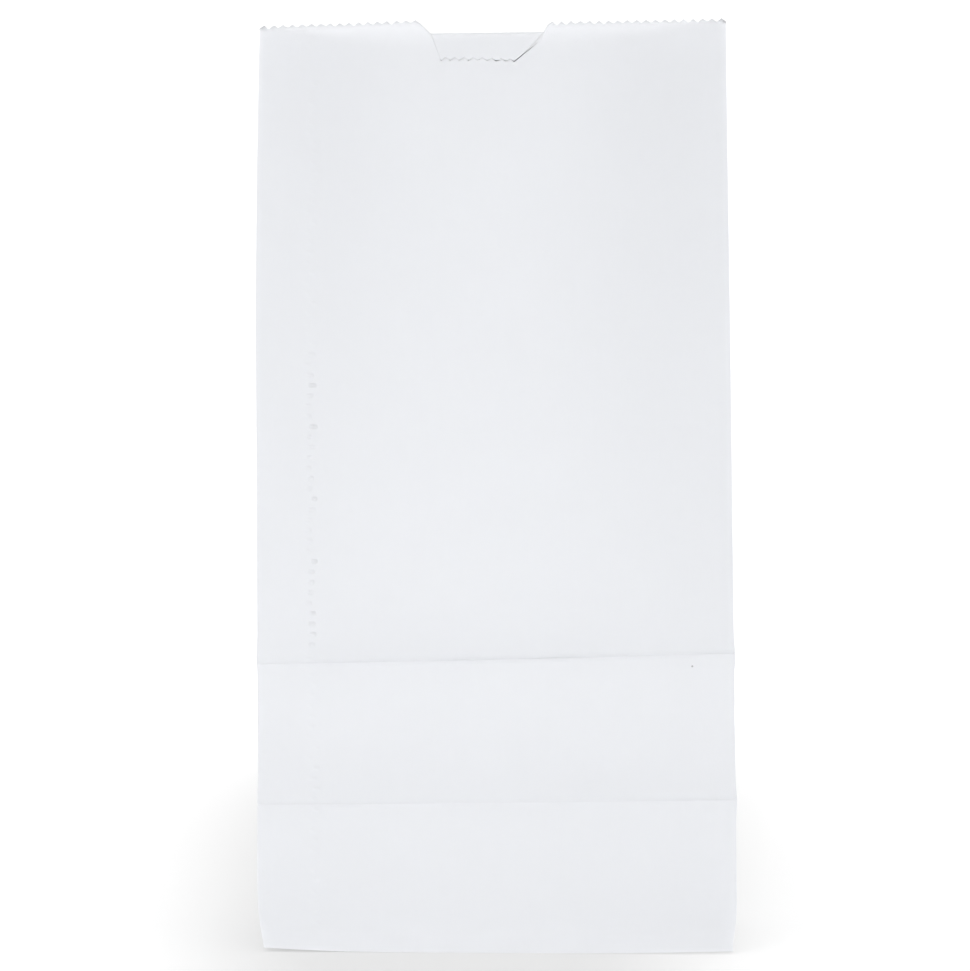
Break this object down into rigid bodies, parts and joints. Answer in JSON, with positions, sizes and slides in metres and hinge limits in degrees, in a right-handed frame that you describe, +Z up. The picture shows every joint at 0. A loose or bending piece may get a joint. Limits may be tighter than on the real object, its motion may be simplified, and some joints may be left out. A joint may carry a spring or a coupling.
{
  "type": "paper lunch bag",
  "caption": "Gusseted white paper lunch bag, opened and standing on its flat glued bottom, with a pinked lip, a thumb notch and flat-pack creases.",
  "frame": {"origin": "middle of the bottom, on the plane of the table the bag stands on", "axes": "+Z up towards the mouth, X across the wide panels, -Y out of the front panel, the one with the thumb notch and the two cross creases"},
  "size_m": [0.127, 0.0794, 0.2461],
  "materials": {
    "white_paper": "matt machine-finished paper"
  },
  "bodies": {
    "root": {"paper_bag": "white_paper"}
  },
  "joints": []
}
